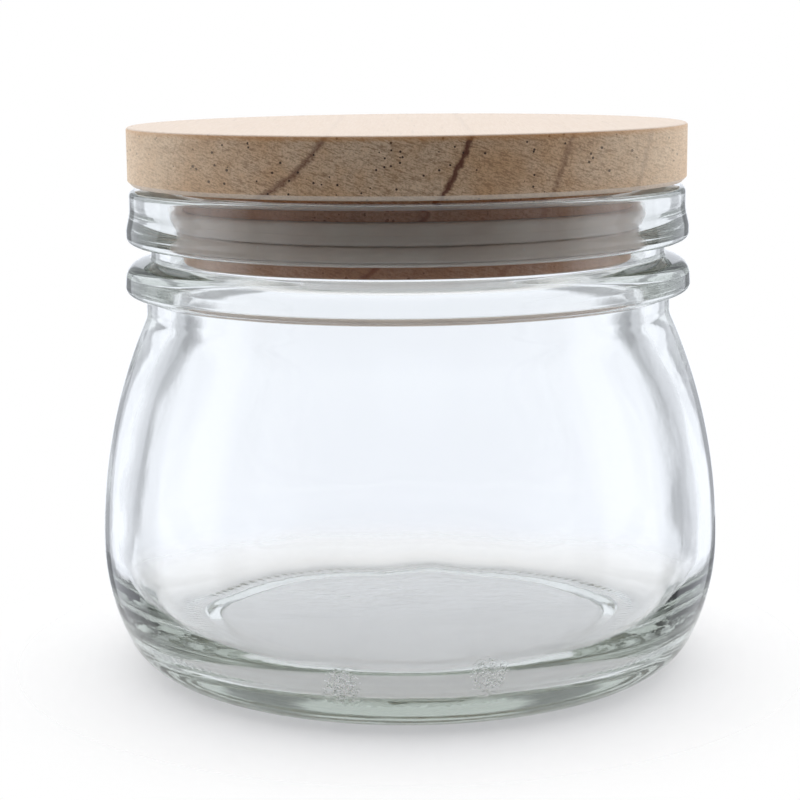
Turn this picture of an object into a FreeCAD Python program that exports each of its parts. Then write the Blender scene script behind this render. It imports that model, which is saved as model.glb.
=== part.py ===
import FreeCAD, Part
import math
import os

# Squat glass storage jar with a turned wooden lid, in millimetres.
# The jar stands on its foot ring at z = 0 and everything is round about the Z axis.
# Three pieces: the one-piece glass jar, the one-piece wooden lid (flange and plug), and the
# flexible seal ring that sits in a groove round the plug and grips the bore of the jar.

# ---- jar: overall ----
JAR_HEIGHT = 84.4            # foot ring to the top of the rim
BORE_DIAMETER = 84.0         # clear mouth of the jar
BELLY_SWELL = 8.75           # how far the belly stands out past the neck, per side
BELLY_LEVEL = 21.8           # height of the widest circle

# ---- jar: finish, the moulded bands outside the mouth (walls are measured from the bore) ----
RIM_WALL = 6.8               # plain band under the rim
UPPER_BEAD_WALL = 7.45       # crest of the upper bead
GROOVE_WALL = 3.3            # upright wall of the groove between the beads
LOWER_BEAD_WALL = 7.85       # crest of the lower bead, at its foot
LOWER_BEAD_DRAFT = 0.3       # the lower bead leans in by this much over its height
NECK_WALL = 4.25             # waist under the lower bead
RIM_BAND = 4.0               # height of the plain band
RIM_FLARE = 2.8              # height over which the band runs out to the upper bead
UPPER_BEAD_LAND = 2.3        # height of the upper bead's crest
UPPER_LEDGE = 0.4            # fall of the upper bead's underside, in to the groove
GROOVE_HEIGHT = 2.4          # height of the groove's upright wall
LOWER_LEDGE = 1.4            # fall of the lower bead's top, out from the groove
LOWER_BEAD_LAND = 4.5        # height of the lower bead's crest
UNDERCUT = 0.7               # fall of the lower bead's underside, in to the neck
NECK_BAND = 2.9              # straight waist of the neck
RIM_OUTER_ROUND = 1.1
RIM_INNER_ROUND = 1.6
FLARE_ROUND = 6.0            # hollow between the plain band and the flare
CREST_ROUND = 3.0            # flare on to the upper bead's crest
BEAD_FOOT_ROUND = 1.2        # lower edge of each bead
BEAD_TOP_ROUND = 3.0         # upper edge of the lower bead
GROOVE_ROUND = 0.4
UNDERCUT_ROUND = 0.6
NECK_ROUND = 4.0             # hollow between the neck and the shoulder

# ---- jar: body and foot ----
FOOT_INSET = 12.3            # foot ring's outer edge, in from the belly
HEEL_RADIUS = 9.5            # outside rounding from the foot ring up into the side
FOOT_RING_WIDTH = 2.5        # flat annulus that bears on the table
PUSH_UP = 1.4                # depth of the hollow under the base
PUSH_UP_RUN = 6.5            # width of the rounded step into that hollow
PUSH_UP_SHELF = 1.3          # level part of the step before each of its two roundings
PUSH_UP_ROUND = 4.0          # those two roundings
SIDE_WALL = 2.7              # glass at the belly
BASE_THICKNESS = 4.6         # glass over the hollow under the base
FLOOR_CROWN = 0.8            # rise of the inside floor, and of the hollow under it, at the axis
FLOOR_INSET = 13.8           # inside floor's edge, in from the inside of the belly
INNER_HEEL_RADIUS = 13.0     # inside rounding from the floor up into the side
INNER_NECK_ROUND = 12.0      # rounding between the bore and the inside of the shoulder

# ---- lid ----
LID_THICKNESS = 10.0         # flange
LID_OVERHANG = 0.15          # flange past the rim band
LID_GAP = 0.8                # flange's underside above the rim
LID_TOP_ROUND = 0.5
LID_BOTTOM_CHAMFER = 0.8
PLUG_CLEARANCE = 2.5         # plug to the bore, per side
PLUG_DEPTH = 13.3            # plug below the flange
PLUG_CHAMFER = 0.4

# ---- seal ring and its groove in the plug ----
SEAL_DROP = 3.8              # flange's underside to the top of the groove
SEAL_HEIGHT = 6.4
SEAL_LOWER_FIN = 1.95        # height of the narrow lower fin; the broad one takes the rest
SEAL_FIN_GAP = 0.25          # slot between the two fins
SEAL_FIN_ROUND = 0.75        # edges of the fins
SEAL_LINE_DEPTH = 0.12       # fine V line round the broad fin
SEAL_LINE_HEIGHT = 0.3
SEAL_LINE_LEVEL = 0.46       # place of that line, as a share of the broad fin's height
SEAL_BAND = 1.9              # depth of the ring's solid band, from the groove's bottom
SEAL_GROOVE_DEPTH = 2.0      # groove below the plug's side
SEAL_SIDE_GAP = 0.05         # ring to each side of the groove
SEAL_BORE_GAP = 0.05         # fins to the bore

# ---- sizes that follow ----
bore = BORE_DIAMETER / 2
rim_radius = bore + RIM_WALL
neck_radius = bore + NECK_WALL
belly_radius = neck_radius + BELLY_SWELL
foot_radius = belly_radius - FOOT_INSET

lid_underside = JAR_HEIGHT + LID_GAP
lid_top = lid_underside + LID_THICKNESS
lid_radius = rim_radius + LID_OVERHANG
plug_radius = bore - PLUG_CLEARANCE
plug_bottom = lid_underside - PLUG_DEPTH
groove_top = lid_underside - SEAL_DROP
groove_bottom = groove_top - SEAL_HEIGHT - 2 * SEAL_SIDE_GAP
groove_radius = plug_radius - SEAL_GROOVE_DEPTH


def point(radius, height):
    """A point of the half section, as a 3D vector in the XZ plane."""
    return FreeCAD.Vector(radius, 0, height)


def line(start, end):
    """Straight edge of the half section."""
    return Part.LineSegment(point(*start), point(*end)).toShape()


def arc(centre, radius, start_deg, end_deg):
    """Round edge of the half section; angles are measured from the outward direction, upwards."""
    def at(angle):
        turn = math.radians(angle)
        return point(centre[0] + radius * math.cos(turn), centre[1] + radius * math.sin(turn))
    return Part.Arc(at(start_deg), at((start_deg + end_deg) / 2), at(end_deg)).toShape()


def rounded_run(corners):
    """Edges through corners given as (radius, height, rounding), each rounded by its own value.

    The first and last corner are never rounded.
    """
    edges = []
    here = corners[0][:2]
    for before, corner, after in zip(corners, corners[1:], corners[2:]):
        rounding = corner[2]
        if rounding <= 0:
            edges.append(line(here, corner[:2]))
            here = corner[:2]
            continue
        spot = point(*corner[:2])
        back = (point(*before[:2]) - spot).normalize()
        ahead = (point(*after[:2]) - spot).normalize()
        half_angle = back.getAngle(ahead) / 2
        reach = rounding / math.tan(half_angle)
        centre = spot + (back + ahead).normalize() * (rounding / math.sin(half_angle))
        middle = centre + (spot - centre).normalize() * rounding
        start = spot + back * reach
        end = spot + ahead * reach
        edges.append(line(here, (start.x, start.z)))
        edges.append(Part.Arc(start, middle, end).toShape())
        here = (end.x, end.z)
    edges.append(line(here, corners[-1][:2]))
    return edges


def heel_and_side(floor_radius, floor_level, side_radius, side_level, heel_radius):
    """Two arcs that leave a floor level and meet an upright side, tangent to each other.

    Returns the edges and ends at the side's widest point.
    """
    run = side_radius - heel_radius - floor_radius
    rise = side_level - floor_level - heel_radius
    turn = 2 * math.atan(run / rise)
    side_arc_radius = heel_radius + rise / math.sin(turn)
    turn_deg = math.degrees(turn)
    heel = arc((floor_radius, floor_level + heel_radius), heel_radius, -90, -turn_deg)
    side = arc((side_radius - side_arc_radius, side_level), side_arc_radius, -turn_deg, 0)
    return [heel, side]


def shoulder(belly, belly_level, neck, neck_level, hollow_radius):
    """Arc from the widest circle up to the neck, with a hollow rounding into the upright neck.

    neck_level is where the upright neck starts, at the top of the rounding.
    """
    swell = belly - neck
    rise = neck_level - belly_level
    arc_radius = (rise ** 2 + swell ** 2) / (2 * swell) - hollow_radius
    centre = (belly - arc_radius, belly_level)
    hollow_centre = (neck + hollow_radius, neck_level)
    turn_deg = math.degrees(math.atan2(rise, hollow_centre[0] - centre[0]))
    sweep = arc(centre, arc_radius, 0, turn_deg)
    hollow = arc(hollow_centre, hollow_radius, 180 + turn_deg, 180)
    return [sweep, hollow]


def turned(edges):
    """Solid of revolution about Z of a closed half section."""
    section = Part.Face(Part.Wire(Part.__sortEdges__(edges)))
    solid = section.revolve(FreeCAD.Vector(0, 0, 0), FreeCAD.Vector(0, 0, 1), 360)
    if solid.Volume < 0:
        solid.reverse()
    return solid


def crown_arc(edge_radius, edge_level, rise):
    """Shallow arc from the axis out to a circle, higher at the axis by rise."""
    axis_point = point(0, edge_level + rise)
    edge_point = point(edge_radius, edge_level)
    ball = (edge_radius ** 2 + rise ** 2) / (2 * rise)
    middle_radius = edge_radius / 2
    sag = ball - math.sqrt(ball ** 2 - middle_radius ** 2)
    middle = point(middle_radius, edge_level + rise - sag)
    return Part.Arc(axis_point, middle, edge_point).toShape()


def make_jar():
    """One-piece glass jar: hollow under the base, heel, belly, neck, two beads, rim and bore."""
    upper_bead = bore + UPPER_BEAD_WALL
    groove = bore + GROOVE_WALL
    lower_bead = bore + LOWER_BEAD_WALL

    rim_band_foot = JAR_HEIGHT - RIM_BAND
    upper_crest_top = rim_band_foot - RIM_FLARE
    upper_crest_foot = upper_crest_top - UPPER_BEAD_LAND
    groove_top_level = upper_crest_foot - UPPER_LEDGE
    groove_foot_level = groove_top_level - GROOVE_HEIGHT
    lower_crest_top = groove_foot_level - LOWER_LEDGE
    lower_crest_foot = lower_crest_top - LOWER_BEAD_LAND
    undercut_foot = lower_crest_foot - UNDERCUT
    neck_foot = undercut_foot - NECK_BAND

    # Outside, from the edge of the hollow under the base up to the bore.
    ring_inner = foot_radius - FOOT_RING_WIDTH
    hollow_edge = ring_inner - PUSH_UP_RUN
    edges = [crown_arc(hollow_edge, PUSH_UP, FLOOR_CROWN)]
    edges += rounded_run([
        (hollow_edge, PUSH_UP, 0),
        (hollow_edge + PUSH_UP_SHELF, PUSH_UP, PUSH_UP_ROUND),
        (ring_inner - PUSH_UP_SHELF, 0, PUSH_UP_ROUND),
        (ring_inner, 0, 0),
    ])
    edges.append(line((ring_inner, 0), (foot_radius, 0)))
    edges += heel_and_side(foot_radius, 0, belly_radius, BELLY_LEVEL, HEEL_RADIUS)
    edges += shoulder(belly_radius, BELLY_LEVEL, neck_radius, neck_foot, NECK_ROUND)
    edges += rounded_run([
        (neck_radius, neck_foot, 0),
        (neck_radius, undercut_foot, UNDERCUT_ROUND),
        (lower_bead, lower_crest_foot, BEAD_FOOT_ROUND),
        (lower_bead - LOWER_BEAD_DRAFT, lower_crest_top, BEAD_TOP_ROUND),
        (groove, groove_foot_level, GROOVE_ROUND),
        (groove, groove_top_level, GROOVE_ROUND),
        (upper_bead, upper_crest_foot, BEAD_FOOT_ROUND),
        (upper_bead, upper_crest_top, CREST_ROUND),
        (rim_radius, rim_band_foot, FLARE_ROUND),
        (rim_radius, JAR_HEIGHT, RIM_OUTER_ROUND),
        (bore, JAR_HEIGHT, RIM_INNER_ROUND),
        (bore, neck_foot, 0),
    ])

    # Inside, from the crowned floor up to the bore.
    floor_level = PUSH_UP + BASE_THICKNESS
    inner_belly = belly_radius - SIDE_WALL
    floor_edge = inner_belly - FLOOR_INSET
    edges.append(crown_arc(floor_edge, floor_level, FLOOR_CROWN))
    edges += heel_and_side(floor_edge, floor_level, inner_belly, BELLY_LEVEL, INNER_HEEL_RADIUS)
    edges += shoulder(inner_belly, BELLY_LEVEL, bore, neck_foot, INNER_NECK_ROUND)
    edges.append(line((0, PUSH_UP + FLOOR_CROWN), (0, floor_level + FLOOR_CROWN)))
    return turned(edges)


def make_lid():
    """One-piece wooden lid: flange over the rim, and a plug with the groove for the seal ring."""
    corners = [
        (0, plug_bottom, 0),
        (plug_radius - PLUG_CHAMFER, plug_bottom, 0),
        (plug_radius, plug_bottom + PLUG_CHAMFER, 0),
        (plug_radius, groove_bottom, 0),
        (groove_radius, groove_bottom, 0),
        (groove_radius, groove_top, 0),
        (plug_radius, groove_top, 0),
        (plug_radius, lid_underside, 0),
        (lid_radius - LID_BOTTOM_CHAMFER, lid_underside, 0),
        (lid_radius, lid_underside + LID_BOTTOM_CHAMFER, 0),
        (lid_radius, lid_top, LID_TOP_ROUND),
        (0, lid_top, 0),
        (0, plug_bottom, 0),
    ]
    return turned(rounded_run(corners))


def make_seal():
    """Flexible ring: a solid band in the plug's groove, with two rounded fins out to the bore."""
    band_radius = groove_radius + SEAL_BAND
    fin_tip = bore - SEAL_BORE_GAP
    bottom = groove_bottom + SEAL_SIDE_GAP
    top = bottom + SEAL_HEIGHT
    slot_foot = bottom + SEAL_LOWER_FIN
    slot_head = slot_foot + SEAL_FIN_GAP
    line_level = slot_head + (top - slot_head) * SEAL_LINE_LEVEL
    line_reach = SEAL_LINE_HEIGHT / 2
    corners = [
        (groove_radius, bottom, 0),
        (fin_tip, bottom, SEAL_FIN_ROUND),
        (fin_tip, slot_foot, SEAL_FIN_ROUND),
        (band_radius, slot_foot, 0),
        (band_radius, slot_head, 0),
        (fin_tip, slot_head, SEAL_FIN_ROUND),
        (fin_tip, line_level - line_reach, 0),
        (fin_tip - SEAL_LINE_DEPTH, line_level, 0),
        (fin_tip, line_level + line_reach, 0),
        (fin_tip, top, SEAL_FIN_ROUND),
        (groove_radius, top, 0),
        (groove_radius, bottom, 0),
    ]
    return turned(rounded_run(corners))


PIECES = {"jar": make_jar, "lid": make_lid, "gasket": make_seal}

os.makedirs("parts", exist_ok=True)
for name, make in PIECES.items():
    shape = make()
    shape.exportStep(os.path.join("parts", name + ".step"))
    box = shape.optimalBoundingBox(False)
    print("%s: valid %s, solids %d, volume %.1f cm3, radius %.2f, z %.2f to %.2f" % (
        name, shape.isValid(), len(shape.Solids), shape.Volume / 1000,
        box.XMax, box.ZMin, box.ZMax))
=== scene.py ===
"""Looks of a squat clear glass jar with a turned pine lid and a flexible seal ring.

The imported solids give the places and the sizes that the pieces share. Each piece here is turned
about the Z axis by one Geometry Nodes tree, from a half section that its own class draws.
"""

import logging
import math
from dataclasses import dataclass, field
from enum import Enum
from typing import ClassVar

import bpy
from mathutils import Euler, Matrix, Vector


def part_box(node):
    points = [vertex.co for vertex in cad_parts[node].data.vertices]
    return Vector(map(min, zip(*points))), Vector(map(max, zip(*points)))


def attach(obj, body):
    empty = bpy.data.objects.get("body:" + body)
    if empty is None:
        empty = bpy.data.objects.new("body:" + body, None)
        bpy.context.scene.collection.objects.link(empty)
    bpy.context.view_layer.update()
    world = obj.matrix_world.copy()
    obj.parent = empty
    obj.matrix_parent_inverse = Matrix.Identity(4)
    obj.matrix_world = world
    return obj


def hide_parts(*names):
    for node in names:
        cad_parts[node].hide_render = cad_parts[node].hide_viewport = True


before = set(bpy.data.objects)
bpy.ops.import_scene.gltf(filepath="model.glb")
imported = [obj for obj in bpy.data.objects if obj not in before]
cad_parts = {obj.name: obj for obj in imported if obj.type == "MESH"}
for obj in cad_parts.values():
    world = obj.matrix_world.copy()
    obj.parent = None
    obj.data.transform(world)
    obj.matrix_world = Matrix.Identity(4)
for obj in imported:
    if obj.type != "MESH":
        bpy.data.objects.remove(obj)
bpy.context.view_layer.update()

MM = 0.001
LOG = logging.getLogger("jar")

Colour = tuple[float, float, float, float]
Ramp = tuple[float, ...]
Point = tuple[float, float]
Triple = tuple[float, float, float]
Tree = bpy.types.NodeTree
AnyNode = bpy.types.Node
Socket = bpy.types.NodeSocket
Material = bpy.types.Material
Mesh = bpy.types.Mesh
Piece = bpy.types.Object


class Node(str, Enum):
    """Names of the solids in the frame."""

    JAR = "jar"
    LID = "lid"
    SEAL = "gasket"


class Slot(str, Enum):
    """Names of the material slots."""

    GLASS = "glass"
    WOOD = "wood"
    SEAL = "seal"


# --- Node trees ---


class Graph:
    """A node tree with short calls to place nodes and to wire them."""

    def __init__(self, tree: Tree) -> None:
        """Keeps the shader or geometry tree that the nodes go into."""
        self.tree = tree

    def add(self, kind: str, inputs: dict | None = None, **settings: object) -> AnyNode:
        """Places a node.

        Args:
            kind: The node's type name.
            inputs: Input sockets, by name or number, with a value or the socket that feeds them.
            **settings: Properties of the node, set before its inputs.

        Returns:
            The new node.
        """
        node = self.tree.nodes.new(kind)
        for name, value in settings.items():
            setattr(node, name, value)
        for key, value in (inputs or {}).items():
            self.feed(node.inputs[key], value)
        return node

    def feed(self, socket: Socket, value: object) -> None:
        """Wires a socket into an input, or sets the input's own value.

        Args:
            socket: The input.
            value: The socket that feeds it, or its value.
        """
        if isinstance(value, Socket):
            self.tree.links.new(value, socket)
        else:
            socket.default_value = value

    def math(self, operation: str, *values: object) -> Socket:
        """Result of a Math node that is fed with one to three numbers or sockets."""
        return self.add("ShaderNodeMath", dict(enumerate(values)), operation=operation).outputs[0]

    def times(self, first: object, second: object) -> Socket:
        """Product of two numbers or sockets."""
        return self.math("MULTIPLY", first, second)

    def measure(self, operation: str, *values: object) -> Socket:
        """Number from a Vector Math node, such as a length or a distance."""
        node = self.add("ShaderNodeVectorMath", dict(enumerate(values)), operation=operation)
        return node.outputs["Value"]

    def split(self, vector: Socket) -> tuple[Socket, Socket, Socket]:
        """X, Y and Z of a vector."""
        return tuple(self.add("ShaderNodeSeparateXYZ", {0: vector}).outputs)

    def join(self, across: Socket, depth: Socket, up: Socket) -> Socket:
        """Vector of X, Y and Z."""
        return self.add("ShaderNodeCombineXYZ", {0: across, 1: depth, 2: up}).outputs[0]

    def place(self) -> Socket:
        """Object coordinates."""
        return self.add("ShaderNodeTexCoord").outputs["Object"]

    def noise(self, place: Socket, size: float, detail: float, roughness: float = 0.5) -> Socket:
        """Noise whose largest patches are as wide as size, with detail as its finer layers."""
        return self.add("ShaderNodeTexNoise", {
            "Vector": place, "Scale": 1 / size, "Detail": detail, "Roughness": roughness}).outputs[0]

    def bump(self, height: Socket, distance: float, strength: float = 1.0) -> Socket:
        """Normal bent by a height, which is scaled by a distance."""
        return self.add("ShaderNodeBump", {
            "Height": height, "Strength": strength, "Distance": distance}).outputs[0]

    def ramp(self, factor: Socket, low: float, high: float,
             start: float = 0.0, end: float = 1.0) -> Socket:
        """Smooth step of a factor: start at and below low, end at and above high."""
        inputs = {0: factor, 1: low, 2: high, 3: start, 4: end}
        return self.add("ShaderNodeMapRange", inputs, interpolation_type="SMOOTHSTEP").outputs[0]

    def mix(self, factor: Socket, first: object, second: object) -> Socket:
        """First colour where the factor is 0, second colour where it is 1."""
        inputs = {0: factor, 6: first, 7: second}
        return self.add("ShaderNodeMix", inputs, data_type="RGBA").outputs[2]

    def between(self, factor: Socket, first: object, second: object) -> Socket:
        """First number where the factor is 0, second number where it is 1."""
        inputs = {0: factor, 2: first, 3: second}
        return self.add("ShaderNodeMix", inputs, data_type="FLOAT").outputs[0]


def colour(red: float, green: float, blue: float) -> Colour:
    """Opaque colour as linear light.

    Args:
        red: Screen value of its red, from 0 to 255.
        green: Screen value of its green.
        blue: Screen value of its blue.

    Returns:
        Red, green, blue and alpha.
    """
    def linear(value: float) -> float:
        """One screen value as linear light."""
        share = value / 255
        return share / 12.92 if share <= 0.04045 else ((share + 0.055) / 1.055) ** 2.4
    return linear(red), linear(green), linear(blue), 1.0


def new_group(name: str, kind: str, inputs: dict[str, tuple[str, object]],
              outputs: dict[str, str]) -> tuple[Graph, AnyNode, AnyNode]:
    """Starts a node group with named sockets.

    Args:
        name: The group's name.
        kind: "ShaderNodeTree" or "GeometryNodeTree".
        inputs: Socket type and default (or None) of each named input.
        outputs: Socket type of each named output.

    Returns:
        The graph, the group's input node and its output node.
    """
    tree = bpy.data.node_groups.new(name, kind)
    for label, (socket_type, default) in inputs.items():
        socket = tree.interface.new_socket(label, in_out="INPUT", socket_type=socket_type)
        if default is not None:
            socket.default_value = default
    for label, socket_type in outputs.items():
        tree.interface.new_socket(label, in_out="OUTPUT", socket_type=socket_type)
    graph = Graph(tree)
    return graph, graph.add("NodeGroupInput"), graph.add("NodeGroupOutput")


# --- Half sections ---


@dataclass
class HalfSection:
    """Outline in the radius-height plane, walked so that the solid lies on its left.

    Round stretches are cut into short chords, and straight ones get a point near each end, so
    that smooth shading stays flat on flat faces.
    """

    turn_step: float = math.radians(7.5)
    longest_chord: float = 1.6 * MM
    dome_chord: float = 4.8 * MM
    edge_band: float = 0.12 * MM
    guarded_bands: float = 4.0
    same_place: float = 0.0001 * MM
    points: list[Point] = field(default_factory=list)

    def put(self, radius: float, height: float) -> None:
        """Puts down a point, unless the outline is there already."""
        if not self.points or math.dist((radius, height), self.points[-1]) > self.same_place:
            self.points.append((radius, height))

    def line_to(self, radius: float, height: float) -> None:
        """Straight stretch to a point, with a guard point near each end.

        Args:
            radius: The point's distance from the axis.
            height: The point's level.
        """
        here = self.points[-1]
        length = math.dist(here, (radius, height))
        shares = [1.0]
        if length > self.guarded_bands * self.edge_band:
            guard = self.edge_band / length
            shares = [guard, 1 - guard, 1.0]
        for share in shares:
            self.put(here[0] + (radius - here[0]) * share, here[1] + (height - here[1]) * share)

    def arc(self, centre: Point, radius: float, first: float, last: float) -> None:
        """Round stretch.

        Args:
            centre: Radius and height of the arc's centre.
            radius: The arc's own radius.
            first: Angle of its first point, from the outward direction, upwards, in radians.
            last: Angle of its last point.
        """
        by_turn = abs(last - first) / self.turn_step
        by_chord = abs(last - first) * radius / self.longest_chord
        count = max(2, math.ceil(max(by_turn, by_chord)))
        for step in range(count + 1):
            angle = first + (last - first) * step / count
            self.put(centre[0] + radius * math.cos(angle), centre[1] + radius * math.sin(angle))

    def arcs(self, run: list[tuple[Point, float, float, float]], forwards: bool) -> None:
        """Arcs that follow each other, given forwards and walked forwards or back."""
        for centre, radius, first, last in (run if forwards else reversed(run)):
            self.arc(centre, radius, *((first, last) if forwards else (last, first)))

    def corners(self, run: list[Triple]) -> None:
        """Straight stretches through corners, each rounded by its own radius.

        Args:
            run: Radius, height and rounding of each corner. The first is where the outline
                already is, and the first and last are never rounded.
        """
        for before, corner, after in zip(run, run[1:], run[2:]):
            spot = Vector(corner[:2])
            if corner[2] <= 0:
                self.line_to(*spot)
                continue
            back = (Vector(before[:2]) - spot).normalized()
            ahead = (Vector(after[:2]) - spot).normalized()
            half_angle = back.angle(ahead) / 2
            centre = spot + (back + ahead).normalized() * (corner[2] / math.sin(half_angle))
            begin = spot + back * (corner[2] / math.tan(half_angle))
            end = spot + ahead * (corner[2] / math.tan(half_angle))
            self.line_to(*begin)
            first = math.atan2(begin.y - centre.y, begin.x - centre.x)
            last = math.atan2(end.y - centre.y, end.x - centre.x)
            last += 2 * math.pi * round((first - last) / (2 * math.pi))
            self.arc(tuple(centre), corner[2], first, last)
        self.line_to(*run[-1][:2])

    def heel_and_side(self, floor: Point, side: Point, heel_radius: float,
                      upwards: bool) -> None:
        """Two tangent arcs between a level floor and an upright side.

        Args:
            floor: Where the floor ends.
            side: Where the side is upright.
            heel_radius: Radius of the arc beside the floor.
            upwards: Whether the outline runs from the floor to the side, or back.
        """
        run = side[0] - heel_radius - floor[0]
        rise = side[1] - floor[1] - heel_radius
        turn = 2 * math.atan(run / rise)
        side_radius = heel_radius + rise / math.sin(turn)
        heel = ((floor[0], floor[1] + heel_radius), heel_radius, -math.pi / 2, -turn)
        flank = ((side[0] - side_radius, side[1]), side_radius, -turn, 0.0)
        self.arcs([heel, flank], upwards)

    def shoulder(self, belly: Point, neck: Point, hollow_radius: float, upwards: bool) -> None:
        """Arc from the widest circle to the neck, with a hollow rounding into the neck.

        Args:
            belly: The widest point.
            neck: Where the neck is upright.
            hollow_radius: Radius of the hollow rounding.
            upwards: Whether the outline runs from the belly to the neck, or back.
        """
        swell, rise = belly[0] - neck[0], neck[1] - belly[1]
        radius = (rise ** 2 + swell ** 2) / (2 * swell) - hollow_radius
        centre = (belly[0] - radius, belly[1])
        hollow_centre = (neck[0] + hollow_radius, neck[1])
        turn = math.atan2(rise, hollow_centre[0] - centre[0])
        sweep = (centre, radius, 0.0, turn)
        hollow = (hollow_centre, hollow_radius, math.pi + turn, math.pi)
        self.arcs([sweep, hollow], upwards)

    def crown(self, edge: Point, rise: float, outwards: bool) -> None:
        """Shallow dome between the axis and a circle.

        Args:
            edge: Radius and height of the circle.
            rise: How much higher the dome is at the axis.
            outwards: Whether the outline runs from the axis to the circle, or back.
        """
        ball = (edge[0] ** 2 + rise ** 2) / (2 * rise)
        centre = (0.0, edge[1] + rise - ball)
        last = math.asin((edge[1] - centre[1]) / ball)
        count = math.ceil(edge[0] / self.dome_chord)
        shares = [step / count for step in range(count + 1)]
        for share in (shares if outwards else reversed(shares)):
            angle = math.pi / 2 + (last - math.pi / 2) * share
            self.put(max(0.0, ball * math.cos(angle)), centre[1] + ball * math.sin(angle))


@dataclass
class TurnedTree:
    """Geometry Nodes tree that turns a half section about Z.

    The section's points carry three attributes: "rib" is how much the ribs bite, "wave" how much
    the surface wanders, and "outward" the direction in which it does.
    """

    weld: float = 0.002 * MM
    tree: Tree = field(init=False)

    def __post_init__(self) -> None:
        """Builds the tree once."""
        graph, given, made = new_group(
            "Turned piece", "GeometryNodeTree",
            {
                "Section": ("NodeSocketGeometry", None),
                "Segments": ("NodeSocketInt", 256),
                "Rib Count": ("NodeSocketInt", 1),
                "Rib Depth": ("NodeSocketFloat", 0.0),
                "Wave Height": ("NodeSocketFloat", 0.0),
                "Wave Length": ("NodeSocketFloat", 0.02),
                "Seed": ("NodeSocketFloat", 0.0),
                "Material": ("NodeSocketMaterial", None),
            },
            {"Piece": "NodeSocketGeometry"})
        self.tree = graph.tree
        section = given.outputs["Section"]
        segments = given.outputs["Segments"]

        size = graph.add("GeometryNodeAttributeDomainSize", {"Geometry": section})
        points = size.outputs["Point Count"]
        columns = graph.math("ADD", segments, 1.0)
        grid = graph.add("GeometryNodeMeshGrid", {"Vertices X": columns, "Vertices Y": points})

        index = graph.add("GeometryNodeInputIndex").outputs[0]
        column = graph.math("FLOOR", graph.math("DIVIDE", graph.math("ADD", index, 0.5), points))
        row = graph.math("SUBTRACT", index, graph.times(column, points))
        turn = graph.math("DIVIDE", graph.math("MODULO", column, segments), segments)
        angle = graph.times(turn, 2 * math.pi)
        cosine, sine = graph.math("COSINE", angle), graph.math("SINE", angle)

        def sampled(value: Socket, data_type: str) -> Socket:
            """Value of the section's point that this grid point belongs to."""
            inputs = {"Geometry": section, "Value": value, "Index": row}
            return graph.add("GeometryNodeSampleIndex", inputs, data_type=data_type).outputs[0]

        def named(name: str, data_type: str) -> Socket:
            """The section's own attribute of that name, sampled."""
            kind = "GeometryNodeInputNamedAttribute"
            return sampled(graph.add(kind, {"Name": name}, data_type=data_type).outputs[0], data_type)

        place = graph.add("GeometryNodeInputPosition").outputs[0]
        radius, _, height = graph.split(sampled(place, "FLOAT_VECTOR"))
        outwards, _, upwards = graph.split(named("outward", "FLOAT_VECTOR"))

        def turned(distance: Socket, level: Socket) -> Socket:
            """Place at a distance from the axis and a level, turned to this column's angle."""
            return graph.join(graph.times(distance, cosine), graph.times(distance, sine), level)

        noise = graph.add("ShaderNodeTexNoise", {
            "Vector": turned(radius, height),
            "W": given.outputs["Seed"],
            "Scale": graph.math("DIVIDE", 1.0, given.outputs["Wave Length"]),
            "Detail": 1.0, "Roughness": 0.4}, noise_dimensions="4D")
        swing = graph.math("SUBTRACT", noise.outputs[0], 0.5)
        wave = graph.times(graph.times(swing, given.outputs["Wave Height"]),
                           graph.times(named("wave", "FLOAT"), 2.0))

        half_step = graph.math("DIVIDE", math.pi, segments)
        rib_turn = graph.times(graph.math("ADD", angle, half_step), given.outputs["Rib Count"])
        rib = graph.math("MULTIPLY_ADD", graph.math("COSINE", rib_turn), -0.5, 0.5)
        bite = graph.times(graph.times(rib, given.outputs["Rib Depth"]), named("rib", "FLOAT"))

        moved_radius = graph.math("MULTIPLY_ADD", outwards, wave, radius)
        moved_height = graph.math("ADD", bite, graph.math("MULTIPLY_ADD", upwards, wave, height))
        shape = grid.outputs["Mesh"]
        for kind, inputs in (
                ("GeometryNodeSetPosition", {"Position": turned(moved_radius, moved_height)}),
                ("GeometryNodeMergeByDistance", {"Distance": self.weld}),
                ("GeometryNodeSetShadeSmooth", {}),
                ("GeometryNodeRealizeInstances", {}),
                ("GeometryNodeSetMaterial", {"Material": given.outputs["Material"]})):
            shape = graph.add(kind, {"Geometry": shape, **inputs}).outputs[0]
        graph.feed(made.inputs["Piece"], shape)


def placed(name: str, data: bpy.types.ID) -> Piece:
    """Puts a mesh or a camera in the scene.

    Args:
        name: Name of the object.
        data: What the object shows.

    Returns:
        The new object, at the origin.
    """
    made = bpy.data.objects.new(name, data)
    bpy.context.scene.collection.objects.link(made)
    return made


def grow(name: str, base: Mesh, tree: Tree, values: dict[str, object]) -> Piece:
    """Runs a Geometry Nodes tree on a mesh and keeps the result as a plain mesh.

    Args:
        name: Name of the finished piece.
        base: The mesh that the tree is given.
        tree: The tree to run.
        values: Values of the tree's named inputs.

    Returns:
        The finished object at the origin, with no modifier.
    """
    maker = placed(name + "_maker", base)
    modifier = maker.modifiers.new("nodes", "NODES")
    modifier.node_group = tree
    sockets = {item.name: item.identifier for item in tree.interface.items_tree
               if item.in_out == "INPUT"}
    for label, value in values.items():
        modifier[sockets[label]] = value
    graph = bpy.context.evaluated_depsgraph_get()
    mesh = bpy.data.meshes.new_from_object(maker.evaluated_get(graph))
    mesh.name = name
    maker.modifiers.remove(modifier)
    bpy.data.objects.remove(maker)
    bpy.data.meshes.remove(base)
    return placed(name, mesh)


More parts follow.
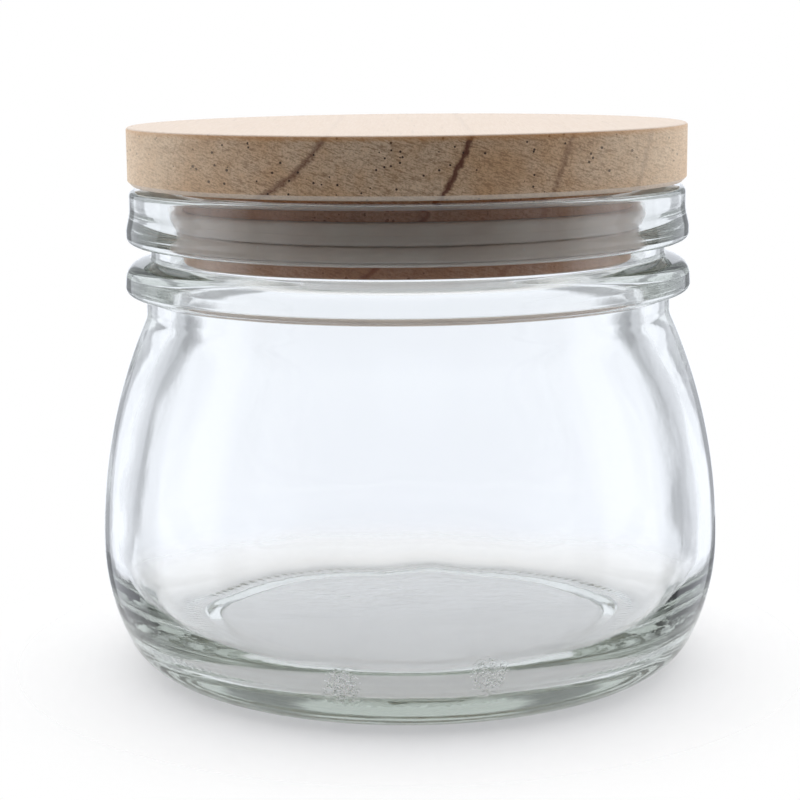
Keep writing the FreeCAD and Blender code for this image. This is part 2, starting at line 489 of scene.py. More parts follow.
def section_mesh(section: HalfSection, **shares: dict[int, float]) -> Mesh:
    """Mesh of a half section's points with the attributes that the turning tree reads.

    Args:
        section: The outline.
        **shares: The "rib" and "wave" of the points by number, 0 for those left out.

    Returns:
        The mesh.
    """
    points = section.points
    mesh = bpy.data.meshes.new("section")
    edges = [(number, number + 1) for number in range(len(points) - 1)]
    mesh.from_pydata([(radius, 0, height) for radius, height in points], edges, [])
    for name in ("rib", "wave"):
        values = mesh.attributes.new(name, "FLOAT", "POINT").data
        for number, share in shares.get(name, {}).items():
            values[number].value = share
    outward = mesh.attributes.new("outward", "FLOAT_VECTOR", "POINT")
    for number in range(len(points)):
        before = points[max(0, number - 1)]
        after = points[min(len(points) - 1, number + 1)]
        along = Vector((after[0] - before[0], after[1] - before[1]))
        if along.length > 0:
            along.normalize()
        outward.data[number].vector = (along.y, 0, -along.x)
    return mesh


# --- Finishes ---


def new_material(name: str) -> tuple[Material, Graph, AnyNode]:
    """Starts a material.

    Args:
        name: The material's name.

    Returns:
        The material, its graph and its output node.
    """
    material = bpy.data.materials.new(name)
    material.use_nodes = True
    material.node_tree.nodes.clear()
    graph = Graph(material.node_tree)
    return material, graph, graph.add("ShaderNodeOutputMaterial")


@dataclass(frozen=True)
class Finish:
    """A material that is made from its own fields."""

    label: ClassVar[str]

    def shader(self, graph: Graph, mottle: Tree) -> Socket:
        """Surface shader of the finish."""
        raise NotImplementedError

    def volume(self, graph: Graph) -> Socket | None:
        """Volume shader of the finish, for a clear one."""
        return None

    def build(self, mottle: Tree) -> Material:
        """Makes the material.

        Args:
            mottle: The shared group of patches and grit.

        Returns:
            The material.
        """
        material, graph, output = new_material(self.label)
        graph.feed(output.inputs["Surface"], self.shader(graph, mottle))
        volume = self.volume(graph)
        if volume:
            graph.feed(output.inputs["Volume"], volume)
        return material


def mottle_group() -> Tree:
    """Group that more than one finish uses: soft patches and fine grit on Object coordinates.

    Returns:
        The group.
    """
    graph, given, made = new_group(
        "Mottle", "ShaderNodeTree",
        {"Patch Size": ("NodeSocketFloat", 0.01), "Grit Size": ("NodeSocketFloat", 0.0005)},
        {"Patches": "NodeSocketFloat", "Grit": "NodeSocketFloat"})
    place = graph.place()
    for label, output, detail in (("Patch Size", "Patches", 3.0), ("Grit Size", "Grit", 2.0)):
        noise = graph.add("ShaderNodeTexNoise", {
            "Vector": place, "Scale": graph.math("DIVIDE", 1.0, given.outputs[label]),
            "Detail": detail, "Roughness": 0.55})
        graph.feed(made.inputs[output], noise.outputs[0])
    return graph.tree


def mottled(graph: Graph, mottle: Tree, patch_size: float,
            grit_size: float = 0.5 * MM) -> tuple[Socket, Socket]:
    """Places the mottle group with its own sizes.

    Args:
        graph: The material's graph.
        mottle: The group.
        patch_size: Width of the soft patches.
        grit_size: Width of the grit.

    Returns:
        The patches and the grit.
    """
    node = graph.add("ShaderNodeGroup", node_tree=mottle)
    node.inputs["Patch Size"].default_value = patch_size
    node.inputs["Grit Size"].default_value = grit_size
    return node.outputs["Patches"], node.outputs["Grit"]


@dataclass(frozen=True)
class ClearGlass(Finish):
    """Clear container glass, faintly green where the light runs a long way in it."""

    label: ClassVar[str] = "Clear glass"
    ior: float = 1.52
    roughness: float = 0.0
    tint: Colour = (0.58, 0.62, 0.555, 1.0)
    density: float = 20.0
    ripple_length: float = 5 * MM
    ripple_height: float = 0.012 * MM
    foot_ripple: float = 3.0
    foot_ripple_top: float = 26 * MM
    chill_marks: tuple[Triple, ...] = (
        (-11.1 * MM, -51.0 * MM, 9.0 * MM), (11.9 * MM, -51.0 * MM, 10.6 * MM))
    mark_radius: float = 4.2 * MM
    mark_core: float = 1.26 * MM
    mark_grain: float = 0.8 * MM
    mark_crests: Ramp = (0.46, 0.58)
    mark_height: float = 0.16 * MM
    frost: float = 0.45

    def shader(self, graph: Graph, mottle: Tree) -> Socket:
        """Clear surface with soft ripples all over, and two crinkled, frosted chill marks.

        Args:
            graph: The material's graph.
            mottle: The shared group of patches and grit.

        Returns:
            The surface shader.
        """
        place = graph.place()
        patches, grit = mottled(graph, mottle, self.ripple_length, self.mark_grain)
        swell = graph.ramp(graph.split(place)[2], 0.0, self.foot_ripple_top, self.foot_ripple, 1.0)
        height = graph.times(patches, self.ripple_height)
        height = graph.times(height, swell)
        marks = 0.0
        for centre in self.chill_marks:
            distance = graph.measure("DISTANCE", place, centre)
            share = graph.ramp(distance, self.mark_core, self.mark_radius, 1.0, 0.0)
            marks = graph.math("MAXIMUM", share, marks)
        marks = graph.times(marks, graph.ramp(grit, *self.mark_crests))
        height = graph.math("MULTIPLY_ADD", marks, self.mark_height, height)
        return graph.add("ShaderNodeBsdfPrincipled", {
            "Base Color": (1, 1, 1, 1), "IOR": self.ior, "Transmission Weight": 1.0,
            "Roughness": graph.math("MULTIPLY_ADD", marks, self.frost, self.roughness),
            "Normal": graph.bump(height, distance=1.0)}).outputs[0]

    def volume(self, graph: Graph) -> Socket:
        """Faint tint that deepens with the length of glass that the light runs through."""
        return graph.add("ShaderNodeVolumeAbsorption", {
            "Color": self.tint, "Density": self.density}).outputs[0]


@dataclass(frozen=True)
class GreySilicone(Finish):
    """Cloudy grey silicone with dust on it."""

    label: ClassVar[str] = "Grey silicone"
    body: Colour = colour(238, 220, 210)
    light: Colour = colour(250, 232, 222)
    dust: Colour = colour(250, 246, 240)
    patch_size: float = 9 * MM
    grit_size: float = 0.55 * MM
    cloud: Ramp = (0.35, 0.7)
    specks: Ramp = (0.70, 0.76)
    sheen: Ramp = (0.3, 0.8, 0.34, 0.52)
    ior: float = 1.41
    scatter: float = 0.7
    scatter_reach: float = 4 * MM
    scatter_tint: Triple = (1.0, 0.9, 0.85)
    grit_height: float = 0.05 * MM

    def shader(self, graph: Graph, mottle: Tree) -> Socket:
        """Cloudy surface with specks of dust.

        Args:
            graph: The material's graph.
            mottle: The shared group of patches and grit.

        Returns:
            The surface shader.
        """
        patches, grit = mottled(graph, mottle, self.patch_size, self.grit_size)
        tone = graph.mix(graph.ramp(patches, *self.cloud), self.body, self.light)
        return graph.add("ShaderNodeBsdfPrincipled", {
            "Base Color": graph.mix(graph.ramp(grit, *self.specks), tone, self.dust),
            "Roughness": graph.ramp(patches, *self.sheen), "IOR": self.ior,
            "Subsurface Weight": self.scatter, "Subsurface Scale": self.scatter_reach,
            "Subsurface Radius": self.scatter_tint,
            "Normal": graph.bump(grit, self.grit_height, strength=0.5)}).outputs[0]


@dataclass(frozen=True)
class SawnPine(Finish):
    """Pine sawn along its fibres, which run along Y, from a log whose heart lies off to one side.

    The growth rings are circles about the heart, so they show as slanting lines on the end grain
    at the front and back of the lid and as straight lines on its top.
    """

    label: ClassVar[str] = "Sawn pine"
    top_level: float
    plug_level: float
    heart_side: float = -39.05 * MM
    heart_rise: float = 17.8 * MM
    early: Colour = colour(222, 198, 172)
    ruddy: Colour = colour(206, 168, 130)
    late: Colour = colour(84, 34, 18)
    pore: Colour = colour(44, 24, 16)
    torn: Colour = colour(128, 94, 66)
    # Paler tone of planed long grain, also painted light on the top, the plug's underside and the
    # chamfers.
    planed_grain_and_painted_light: Colour = colour(219, 209, 199)
    # Paler tone of the side grain, also a painted sheen of grazing light on the lid's ends.
    side_grain_and_painted_sheen: Colour = colour(226, 206, 180)
    # Painted shade: a deeper, redder brown for the plug below the flange.
    shaded: Colour = colour(214, 132, 82)
    edge_tone: Colour = colour(196, 140, 84)
    rings: tuple[Point, ...] = (
        (21.0, 0.12), (32.1, 0.80), (52.0, 1.0), (60.0, 0.06), (67.2, 0.42), (80.8, 0.34),
        (94.0, 0.2))
    ring_profile: tuple[Point, ...] = (
        (-0.8, 0.0), (-0.35, 1.0), (0.1, 0.9), (0.4, 0.0))
    ring_reach: float = 105.0 * MM
    ring_strength: float = 0.95
    ring_stretch: Triple = (1.0, 0.22, 1.0)
    drift_size: float = 22 * MM
    drift_share: float = 2.6
    jitter_size: float = 0.8 * MM
    jitter_share: float = 1.1
    wander: float = 0.9 * MM
    grain_stretch: Triple = (1.0, 0.035, 1.0)
    fibre_size: float = 0.32 * MM
    streak_size: float = 2.6 * MM
    patch_size: float = 16 * MM
    ruddy_patches: Ramp = (0.35, 0.68)
    ruddy_streaks: Ramp = (0.42, 0.75, 0.0, 0.45)
    torn_fibres: Ramp = (0.42, 0.72, 0.0, 0.5)
    canal_size: float = 1.2 * MM
    canal_clusters: float = 11 * MM
    canal_quota: Ramp = (0.47, 0.56, 0.86, 0.0)
    canal_radius: float = 0.10
    pore_strength: float = 0.9
    saw_slant: float = math.radians(20)
    saw_stretch: Triple = (5.0, 8.0, 1.0)
    saw_size: float = 0.24 * MM
    torn_saw: Ramp = (0.44, 0.66, 0.0, 0.6)
    edge_fray: float = 1.2 * MM
    edge_reach: Point = (-0.6 * MM, 0.3 * MM)
    edge_strength: float = 0.6
    plug_fade: float = 0.5 * MM
    plug_shade: float = 0.5
    # Mask on faces that point along X: side grain and painted sheen at the lid's left and right ends.
    side_grain_and_painted_sheen_mask: Ramp = (0.4, 1.0, 0.0, 0.5)
    # Mask on faces that point up or down: planed grain and painted light, reaching part way onto the
    # chamfers.
    planed_and_painted_light_mask: Ramp = (0.4, 0.85, 0.0, 0.82)
    saw_relief: float = 0.6
    pore_relief: float = -1.2
    relief: float = 0.12 * MM
    sheen: Ramp = (0.3, 0.7, 0.55, 0.76)
    gloss: float = 0.35

    def rings_group(self) -> Tree:
        """Group that gives the growth rings as a mask, with a soft side towards the heart.

        Returns:
            The group.
        """
        graph, given, made = new_group(
            "Growth rings", "ShaderNodeTree",
            {"Heart X": ("NodeSocketFloat", self.heart_side),
             "Heart Z": ("NodeSocketFloat", self.top_level + self.heart_rise),
             "Wander": ("NodeSocketFloat", self.wander)},
            {"Late": "NodeSocketFloat"})
        place = graph.place()
        along = graph.add("ShaderNodeMapping", {"Vector": place, "Scale": self.ring_stretch})
        offset: object = 0.0
        for size, detail, share in ((self.drift_size, 3.0, self.drift_share),
                                    (self.jitter_size, 1.0, self.jitter_share)):
            swing = graph.math("SUBTRACT", graph.noise(along.outputs[0], size, detail), 0.5)
            offset = graph.math("MULTIPLY_ADD", swing, share, offset)
        across, _, above = graph.split(place)
        across = graph.math("SUBTRACT", across, given.outputs["Heart X"])
        above = graph.math("SUBTRACT", above, given.outputs["Heart Z"])
        distance = graph.math("SQRT", graph.math("ADD", graph.times(across, across),
                                                 graph.times(above, above)))
        wandered = graph.math("MULTIPLY_ADD", offset, given.outputs["Wander"], distance)
        ramp = graph.add("ShaderNodeValToRGB",
                         {"Fac": graph.math("DIVIDE", wandered, self.ring_reach)})
        self.set_ring_stops(ramp.color_ramp)
        graph.feed(made.inputs["Late"], ramp.outputs[0])
        return graph.tree

    def set_ring_stops(self, ramp: bpy.types.ColorRamp) -> None:
        """Puts a slow rise, a narrow crest and a quick fall at each ring.

        Args:
            ramp: The colour ramp, which runs from the heart outwards.
        """
        while len(ramp.elements) > 1:
            ramp.elements.remove(ramp.elements[-1])
        ramp.elements[0].position = 0.0
        ramp.elements[0].color = (0, 0, 0, 1)
        for radius, strength in self.rings:
            for offset, share in self.ring_profile:
                stop = ramp.elements.new(min(1.0, (radius + offset) * MM / self.ring_reach))
                stop.color = (strength * share, strength * share, strength * share, 1)

    def pores(self, graph: Graph, along: Socket) -> Socket:
        """Mask of the resin canals: small holes that come in clusters.

        Args:
            graph: The material's graph.
            along: Coordinates that are drawn out along the fibres.

        Returns:
            1 in a canal and 0 beside it.
        """
        canals = graph.add("ShaderNodeTexVoronoi", {
            "Vector": along, "Scale": 1 / self.canal_size, "Randomness": 1.0}, feature="F1")
        chosen = graph.add("ShaderNodeSeparateColor", {0: canals.outputs["Color"]})
        clusters = graph.noise(along, self.canal_clusters, detail=1.0)
        quota = graph.ramp(clusters, *self.canal_quota)
        kept = graph.math("GREATER_THAN", chosen.outputs["Red"], quota)
        hole_size = graph.math("MULTIPLY_ADD", chosen.outputs["Green"], self.canal_radius,
                               self.canal_radius)
        hole = graph.math("LESS_THAN", canals.outputs["Distance"], hole_size)
        return graph.times(kept, hole)

    def by_face(self, graph: Graph, tone: Socket, height: Socket, fray: Socket) -> Socket:
        """Changes the wood's colour by where it is on the lid, painting shade on the plug and light
        on the ends and on faces that point up or down.

        Args:
            graph: The material's graph.
            tone: Colour of the cut end grain.
            height: Level of the point.
            fray: Noise that frays the line below the top edge.

        Returns:
            The colour with its top edge, the plug's painted shade, the ends' paler side grain and
            painted sheen, and the paler planed grain and painted light on faces that point up or
            down.
        """
        frayed = graph.math("MULTIPLY_ADD", fray, self.edge_fray, height)
        edge = (self.top_level + reach for reach in self.edge_reach)
        tone = graph.mix(graph.ramp(frayed, *edge, 0.0, self.edge_strength), tone, self.edge_tone)
        across, _, up = graph.split(graph.add("ShaderNodeNewGeometry").outputs["Normal"])
        upright, across = graph.math("ABSOLUTE", up), graph.math("ABSOLUTE", across)
        # Painted shade: below the flange the plug turns towards the deeper, redder shaded colour.
        below = graph.ramp(height, self.plug_level - self.plug_fade, self.plug_level,
                           self.plug_shade, 0.0)
        tone = graph.mix(below, tone, self.shaded)
        # Painted sheen: the ends, whose faces point along X, turn paler, partly as side grain and
        # partly as painted grazing light.
        tone = graph.mix(graph.ramp(across, *self.side_grain_and_painted_sheen_mask), tone, self.side_grain_and_painted_sheen)
        # Painted light: faces that point up or down, and the chamfers in part, turn paler, partly as
        # planed long grain and partly as painted light from above and from the floor below.
        return graph.mix(graph.ramp(upright, *self.planed_and_painted_light_mask), tone, self.planed_grain_and_painted_light)

    def shader(self, graph: Graph, mottle: Tree) -> Socket:
        """Wood with rings, pores and saw lines, changed by where it is on the lid, with painted light
        and shade by height and by which way a face points.

        Args:
            graph: The material's graph.
            mottle: The shared group of patches and grit.

        Returns:
            The surface shader.
        """
        place = graph.place()
        rings = graph.add("ShaderNodeGroup", node_tree=self.rings_group())
        patches, _ = mottled(graph, mottle, self.patch_size)
        along = graph.add("ShaderNodeMapping", {
            "Vector": place, "Scale": self.grain_stretch}).outputs[0]
        fibre = graph.noise(along, self.fibre_size, detail=3.0, roughness=0.6)
        streak = graph.noise(along, self.streak_size, detail=3.0, roughness=0.6)
        pores = self.pores(graph, along)
        slanted = graph.add("ShaderNodeMapping", {
            "Vector": place, "Rotation": (0.0, self.saw_slant, 0.0), "Scale": self.saw_stretch},
            vector_type="TEXTURE").outputs[0]
        saw_lines = graph.noise(slanted, self.saw_size, detail=3.0, roughness=0.65)

        tone = graph.mix(graph.ramp(patches, *self.ruddy_patches), self.early, self.ruddy)
        tone = graph.mix(graph.ramp(streak, *self.ruddy_streaks), tone, self.ruddy)
        tone = graph.mix(graph.ramp(saw_lines, *self.torn_saw), tone, self.torn)
        tone = graph.mix(graph.ramp(fibre, *self.torn_fibres), tone, self.torn)
        late = graph.times(rings.outputs["Late"], self.ring_strength)
        tone = graph.mix(late, tone, self.late)
        tone = graph.mix(graph.times(pores, self.pore_strength), tone, self.pore)
        tone = self.by_face(graph, tone, graph.split(place)[2], saw_lines)

        relief = graph.math("MULTIPLY_ADD", saw_lines, self.saw_relief, fibre)
        relief = graph.math("MULTIPLY_ADD", pores, self.pore_relief, relief)
        return graph.add("ShaderNodeBsdfPrincipled", {
            "Base Color": tone, "Roughness": graph.ramp(fibre, *self.sheen),
            "Normal": graph.bump(relief, self.relief),
            "Specular IOR Level": self.gloss}).outputs[0]


# --- Pieces ---


def finish_piece(piece: Piece, node: Node) -> None:
    """Ties a finished piece to the frame.

    Args:
        piece: The piece.
        node: The solid that it stands for.
    """
    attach(piece, "root")
    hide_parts(node.value)
    LOG.info("%s: %d faces", piece.name, len(piece.data.polygons))


@dataclass
class GlassJar:
    """One-piece jar: foot ring with ribs, hollow base, belly, neck, two beads and a round rim."""

    turner: TurnedTree
    glass: Material
    bore: float = 42.0 * MM
    rim_wall: float = 6.8 * MM
    upper_bead_wall: float = 7.45 * MM
    groove_wall: float = 3.3 * MM
    lower_bead_wall: float = 7.85 * MM
    lower_bead_draft: float = 0.3 * MM
    neck_wall: float = 4.25 * MM
    rim_band: float = 4.0 * MM
    rim_flare: float = 2.8 * MM
    upper_bead_land: float = 2.3 * MM
    upper_ledge: float = 0.4 * MM
    groove_height: float = 2.4 * MM
    lower_ledge: float = 1.4 * MM
    lower_bead_land: float = 4.5 * MM
    undercut: float = 0.7 * MM
    neck_band: float = 2.9 * MM
    rim_outer_round: float = 1.1 * MM
    rim_inner_round: float = 1.6 * MM
    flare_round: float = 6.0 * MM
    crest_round: float = 3.0 * MM
    bead_foot_round: float = 1.2 * MM
    bead_top_round: float = 3.0 * MM
    groove_round: float = 0.4 * MM
    undercut_round: float = 0.6 * MM
    neck_round: float = 4.0 * MM
    belly_level: float = 21.8 * MM
    foot_inset: float = 12.3 * MM
    heel_radius: float = 9.5 * MM
    foot_ring: float = 2.5 * MM
    push_up: float = 1.4 * MM
    push_up_run: float = 6.5 * MM
    push_up_shelf: float = 1.3 * MM
    push_up_round: float = 4.0 * MM
    side_wall: float = 2.7 * MM
    base_thickness: float = 4.6 * MM
    floor_crown: float = 0.8 * MM
    floor_inset: float = 13.8 * MM
    inner_heel: float = 13.0 * MM
    inner_neck_round: float = 12.0 * MM
    rib_count: int = 128
    rib_segments: int = 3
    rib_depth: float = 0.12 * MM
    rib_fade: float = 1.2 * MM
    foot_ring_steps: int = 5
    wave_height: float = 0.22 * MM
    wave_length: float = 17 * MM
    wave_drop: float = 26 * MM
    wave_fade: float = 8 * MM
    wave_seed: float = 4.0

    def outline(self) -> HalfSection:
        """Half section of the jar.

        Returns:
            The outline, from the axis under the base, up the outside and back down inside.
        """
        low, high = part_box(Node.JAR.value)
        foot_level, rim_level = low.z, high.z
        belly = high.x
        rim, neck = self.bore + self.rim_wall, self.bore + self.neck_wall
        upper_bead = self.bore + self.upper_bead_wall
        lower_bead = self.bore + self.lower_bead_wall
        groove = self.bore + self.groove_wall
        band_foot = rim_level - self.rim_band
        crest_top = band_foot - self.rim_flare
        crest_foot = crest_top - self.upper_bead_land
        groove_top = crest_foot - self.upper_ledge
        groove_foot = groove_top - self.groove_height
        lower_top = groove_foot - self.lower_ledge
        lower_foot = lower_top - self.lower_bead_land
        undercut_foot = lower_foot - self.undercut
        neck_foot = undercut_foot - self.neck_band
        belly_level = foot_level + self.belly_level
        foot = belly - self.foot_inset
        ring_inner = foot - self.foot_ring
        hollow_edge = ring_inner - self.push_up_run
        hollow_level = foot_level + self.push_up

        section = HalfSection()
        section.crown((hollow_edge, hollow_level), self.floor_crown, outwards=True)
        section.corners([
            (hollow_edge, hollow_level, 0),
            (hollow_edge + self.push_up_shelf, hollow_level, self.push_up_round),
            (ring_inner - self.push_up_shelf, foot_level, self.push_up_round),
            (ring_inner, foot_level, 0),
        ])
        for step in range(1, self.foot_ring_steps + 1):
            section.put(ring_inner + self.foot_ring * step / self.foot_ring_steps, foot_level)
        section.heel_and_side((foot, foot_level), (belly, belly_level), self.heel_radius,
                              upwards=True)
        section.shoulder((belly, belly_level), (neck, neck_foot), self.neck_round, upwards=True)
        section.corners([
            (neck, neck_foot, 0),
            (neck, undercut_foot, self.undercut_round),
            (lower_bead, lower_foot, self.bead_foot_round),
            (lower_bead - self.lower_bead_draft, lower_top, self.bead_top_round),
            (groove, groove_foot, self.groove_round),
            (groove, groove_top, self.groove_round),
            (upper_bead, crest_foot, self.bead_foot_round),
            (upper_bead, crest_top, self.crest_round),
            (rim, band_foot, self.flare_round),
            (rim, rim_level, self.rim_outer_round),
            (self.bore, rim_level, self.rim_inner_round),
            (self.bore, neck_foot, 0),
        ])
        floor_level = hollow_level + self.base_thickness
        inner_belly = belly - self.side_wall
        floor_edge = inner_belly - self.floor_inset
        section.shoulder((inner_belly, belly_level), (self.bore, neck_foot),
                         self.inner_neck_round, upwards=False)
        section.heel_and_side((floor_edge, floor_level), (inner_belly, belly_level),
                              self.inner_heel, upwards=False)
        section.crown((floor_edge, floor_level), self.floor_crown, outwards=False)
        return section

    def build(self) -> None:
        """Turns the jar and dresses it."""
        low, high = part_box(Node.JAR.value)
        section = self.outline()
        rib: dict[int, float] = {}
        wave: dict[int, float] = {}
        ring_outer = high.x - self.foot_inset
        ring_inner = ring_outer - self.foot_ring
        rim_number = max(range(len(section.points)), key=lambda n: section.points[n][1])
        wave_top = high.z - self.wave_drop
        for number, (radius, height) in enumerate(section.points):
            if height - low.z < self.push_up / 2:
                reach = min(radius - ring_inner, ring_outer + self.rib_fade - radius)
                rib[number] = max(0.0, min(1.0, reach / self.rib_fade))
            if number > rim_number:
                wave[number] = max(0.0, min(1.0, (wave_top - height) / self.wave_fade))
        piece = grow("glass_jar", section_mesh(section, wave=wave, rib=rib), self.turner.tree, {
            "Segments": self.rib_count * self.rib_segments,
            "Rib Count": self.rib_count,
            "Rib Depth": self.rib_depth,
            "Wave Height": self.wave_height,
            "Wave Length": self.wave_length,
            "Seed": self.wave_seed,
            "Material": self.glass,
        })
        finish_piece(piece, Node.JAR)


@dataclass
class WoodenLid:
    """One-piece lid: a flange that covers the rim, and a plug with a groove for the seal."""

    turner: TurnedTree
    wood: Material
    segments: int = 384
    flange: float = 10.0 * MM
    top_round: float = 0.5 * MM
    bottom_chamfer: float = 0.8 * MM
    plug: float = 39.5 * MM
    plug_chamfer: float = 0.4 * MM
    seal_drop: float = 3.8 * MM
    groove_height: float = 6.5 * MM
    groove_depth: float = 2.0 * MM
    arris: float = 0.12 * MM

    def build(self) -> None:
        """Turns the lid and dresses it."""
        low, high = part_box(Node.LID.value)
        edge = high.x
        underside = high.z - self.flange
        groove_top = underside - self.seal_drop
        groove_bottom = groove_top - self.groove_height
        groove = self.plug - self.groove_depth
        section = HalfSection(edge_band=0.5 * MM)
        section.put(0.0, low.z)
        cut_edges = (
            (self.plug - self.plug_chamfer, low.z), (self.plug, low.z + self.plug_chamfer),
            (self.plug, groove_bottom), (groove, groove_bottom),
            (groove, groove_top), (self.plug, groove_top), (self.plug, underside),
            (edge - self.bottom_chamfer, underside), (edge, underside + self.bottom_chamfer))
        section.corners([
            (0.0, low.z, 0),
            *((*place, self.arris) for place in cut_edges),
            (edge, high.z, self.top_round),
            (0.0, high.z, 0),
        ])
        piece = grow("wooden_lid", section_mesh(section), self.turner.tree, {
            "Segments": self.segments, "Material": self.wood})
        finish_piece(piece, Node.LID)


@dataclass
class SealRing:
    """Flexible ring: a band that fills the plug's groove, and two rounded fins out to the bore."""

    turner: TurnedTree
    silicone: Material
    segments: int = 320
    inner: float = 37.5 * MM
    band: float = 1.9 * MM
    lower_fin: float = 1.95 * MM
    fin_gap: float = 0.25 * MM
    fin_round: float = 0.75 * MM
    root_round: float = 0.08 * MM
    line_depth: float = 0.12 * MM
    line_height: float = 0.3 * MM
    line_level: float = 0.46

    def build(self) -> None:
        """Turns the ring and dresses it."""
        low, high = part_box(Node.SEAL.value)
        tip = high.x
        root = self.inner + self.band
        slot_foot = low.z + self.lower_fin
        slot_head = slot_foot + self.fin_gap
        line = slot_head + (high.z - slot_head) * self.line_level
        section = HalfSection(edge_band=0.06 * MM)
        section.put(self.inner, low.z)
        section.corners([
            (self.inner, low.z, 0.0),
            (tip, low.z, self.fin_round),
            (tip, slot_foot, self.fin_round),
            (root, slot_foot, self.root_round),
            (root, slot_head, self.root_round),
            (tip, slot_head, self.fin_round),
            (tip, line - self.line_height / 2, 0.0),
            (tip - self.line_depth, line, 0.0),
            (tip, line + self.line_height / 2, 0.0),
            (tip, high.z, self.fin_round),
            (self.inner, high.z, 0.0),
            (self.inner, low.z, 0.0),
        ])
        piece = grow("seal_ring", section_mesh(section), self.turner.tree, {
            "Segments": self.segments, "Material": self.silicone})
        finish_piece(piece, Node.SEAL)


# --- Studio ---


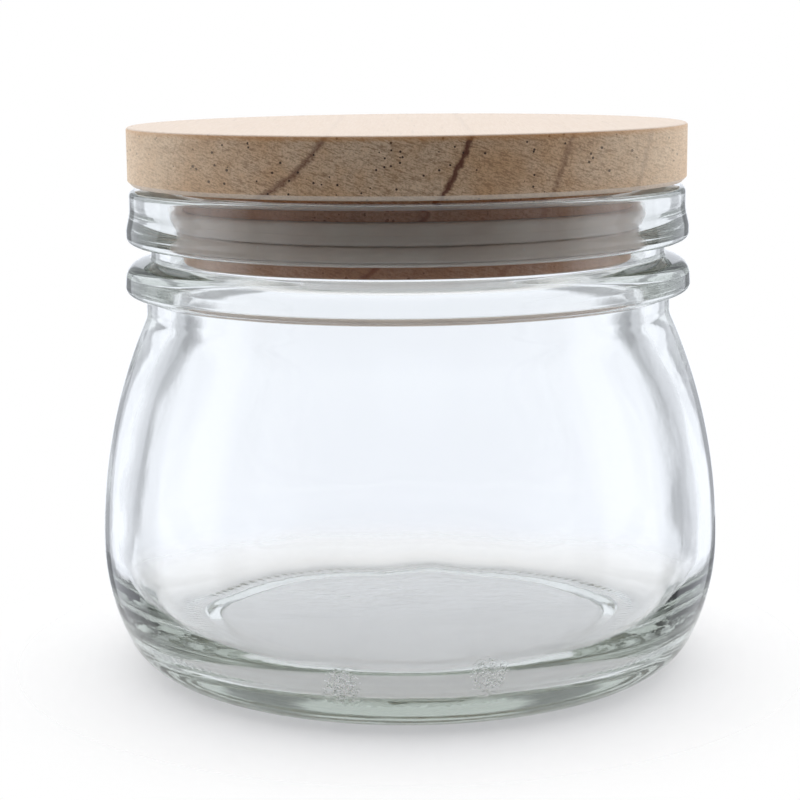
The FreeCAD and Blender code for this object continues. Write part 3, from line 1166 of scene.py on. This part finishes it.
@dataclass
class Studio:
    """Pale floor, soft light from a ring of pale panels, and the camera."""

    camera_distance: float = 0.3540
    camera_height: float = 0.1087
    camera_side: float = -0.0016
    look_down: float = math.radians(10.08)
    roll: float = math.radians(0.55)
    lens: float = 89.84
    sensor: float = 36.0
    nearest: float = 0.01
    floor_drop: float = 0.05 * MM
    floor_radius: float = 0.088
    floor_fade: float = 0.042
    floor_sides: int = 96
    floor_tone: Colour = (0.62, 0.62, 0.6262, 1.0)
    floor_glow: float = 0.35
    glow_tint: Colour = (0.93, 0.96, 1.0, 1.0)
    light_tint: Colour = (1.0, 0.99, 0.98, 1.0)
    white: Colour = (1.0, 1.0, 1.0, 1.0)
    backdrop: Colour = (0.898, 0.932, 1.0, 1.0)
    backdrop_level: float = 1.154
    panels: int = 8
    panel_gap: float = 0.62
    gap_width: Ramp = (-0.80, -0.35, 1.0, 0.0)
    panel_height: Ramp = (0.45, 0.85, 1.0, 0.0)
    front_turn: Ramp = (math.radians(80), math.radians(150))
    front_tone: float = 0.22
    overhead_reach: Ramp = (0.70, 0.92)
    overhead_light: float = 1.42
    light_level: float = 1.30
    light_from_back: float = 1.62
    front_light: float = 0.03
    back_light: float = 2.15
    bounces: int = 32

    def camera(self) -> None:
        """Places the camera and makes it the scene's own."""
        data = bpy.data.cameras.new("Camera")
        data.lens = self.lens
        data.sensor_width = self.sensor
        data.clip_start = self.nearest
        camera = placed("Camera", data)
        camera.location = (self.camera_side, -self.camera_distance, self.camera_height)
        turn = Euler((math.pi / 2 - self.look_down, 0.0, 0.0)).to_matrix()
        turn = turn @ Euler((0.0, 0.0, -self.roll)).to_matrix()
        camera.rotation_euler = turn.to_euler()
        bpy.context.scene.camera = camera

    def floor(self) -> None:
        """Pale round floor whose edge fades away, so that only the soft shadow shows."""
        mesh = bpy.data.meshes.new("floor")
        turns = [2 * math.pi * step / self.floor_sides for step in range(self.floor_sides)]
        rim = [(self.floor_radius * math.cos(turn), self.floor_radius * math.sin(turn),
                -self.floor_drop) for turn in turns]
        mesh.from_pydata(rim, [], [tuple(range(self.floor_sides))])
        floor = placed("floor", mesh)
        material, graph, output = new_material("Pale floor")
        solid = graph.ramp(graph.measure("LENGTH", graph.place()),
                           self.floor_radius - self.floor_fade, self.floor_radius, 1.0, 0.0)
        matt = graph.add("ShaderNodeBsdfDiffuse", {"Color": self.floor_tone})
        glow = graph.add("ShaderNodeEmission", {
            "Color": self.glow_tint, "Strength": self.floor_glow})
        lit = graph.add("ShaderNodeAddShader", {0: matt.outputs[0], 1: glow.outputs[0]})
        clear = graph.add("ShaderNodeBsdfTransparent")
        mixed = graph.add("ShaderNodeMixShader", {
            0: solid, 1: clear.outputs[0], 2: lit.outputs[0]})
        graph.feed(output.inputs["Surface"], mixed.outputs[0])
        mesh.materials.append(material)

    @staticmethod
    def seen(graph: Graph) -> Socket:
        """Tells what the camera sees, directly or through glass or a reflection.

        Args:
            graph: The world's graph.

        Returns:
            1 for a ray that the camera sees, and 0 for one that only lights the pieces.
        """
        path = graph.add("ShaderNodeLightPath")
        chain = graph.math("MAXIMUM", path.outputs["Is Camera Ray"], graph.math(
            "MAXIMUM", path.outputs["Is Glossy Ray"], path.outputs["Is Transmission Ray"]))
        fresh = graph.math("LESS_THAN", path.outputs["Diffuse Depth"], 0.5)
        return graph.times(chain, fresh)

    def world(self) -> None:
        """Light from all round: plain white to the camera, panels with soft gaps to the glass."""
        world = bpy.data.worlds.new("Studio")
        bpy.context.scene.world = world
        world.use_nodes = True
        world.node_tree.nodes.clear()
        graph = Graph(world.node_tree)
        output = graph.add("ShaderNodeOutputWorld")
        across, depth, up = graph.split(graph.add("ShaderNodeTexCoord").outputs["Generated"])
        path = graph.add("ShaderNodeLightPath")

        bearing = graph.math("ARCTAN2", across, depth)
        steep = graph.math("ABSOLUTE", up)
        level = graph.ramp(steep, *self.panel_height)
        beat = graph.math("COSINE", graph.times(bearing, float(self.panels)))
        gap = graph.times(graph.ramp(beat, *self.gap_width), level)
        panel = graph.math("MULTIPLY_ADD", gap, -self.panel_gap, 1.0)
        panel = graph.times(panel, self.backdrop_level)
        front = graph.ramp(graph.math("ABSOLUTE", bearing), *self.front_turn)
        front = graph.times(front, level)
        mirrored = graph.math("GREATER_THAN", path.outputs["Glossy Depth"], 0.5)
        front = graph.times(front, mirrored)
        panel = graph.between(front, panel, self.front_tone)

        light = graph.math("MULTIPLY_ADD", depth, self.light_from_back, self.light_level)
        light = graph.math("MAXIMUM", light, self.front_light)
        light = graph.math("MINIMUM", light, self.back_light)
        overhead = graph.ramp(steep, *self.overhead_reach)
        light = graph.between(overhead, light, self.overhead_light)

        seen = self.seen(graph)
        direct = path.outputs["Is Camera Ray"]
        strength = graph.between(direct, graph.between(seen, light, panel), 1.0)
        tint = graph.mix(seen, self.light_tint, self.backdrop)
        glow = graph.add("ShaderNodeBackground", {
            "Color": graph.mix(direct, tint, self.white), "Strength": strength})
        graph.feed(output.inputs["Surface"], glow.outputs[0])

    def build(self) -> None:
        """Sets up the camera, the floor and the light."""
        self.camera()
        self.floor()
        self.world()
        scene = bpy.context.scene
        scene.view_settings.view_transform = "Standard"
        scene.cycles.max_bounces = self.bounces
        scene.cycles.transmission_bounces = self.bounces
        scene.cycles.glossy_bounces = self.bounces
        LOG.info("studio ready")


def main() -> None:
    """Builds the pieces in order and reports each one."""
    logging.basicConfig(level=logging.INFO, format="%(name)s: %(message)s")
    mottle = mottle_group()
    turner = TurnedTree()
    Studio().build()
    lid_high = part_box(Node.LID.value)[1]
    pine = SawnPine(top_level=lid_high.z, plug_level=lid_high.z - WoodenLid.flange)
    WoodenLid(turner, pine.build(mottle)).build()
    SealRing(turner, GreySilicone().build(mottle)).build()
    GlassJar(turner, ClearGlass().build(mottle)).build()


if __name__ == "__main__":
    main()
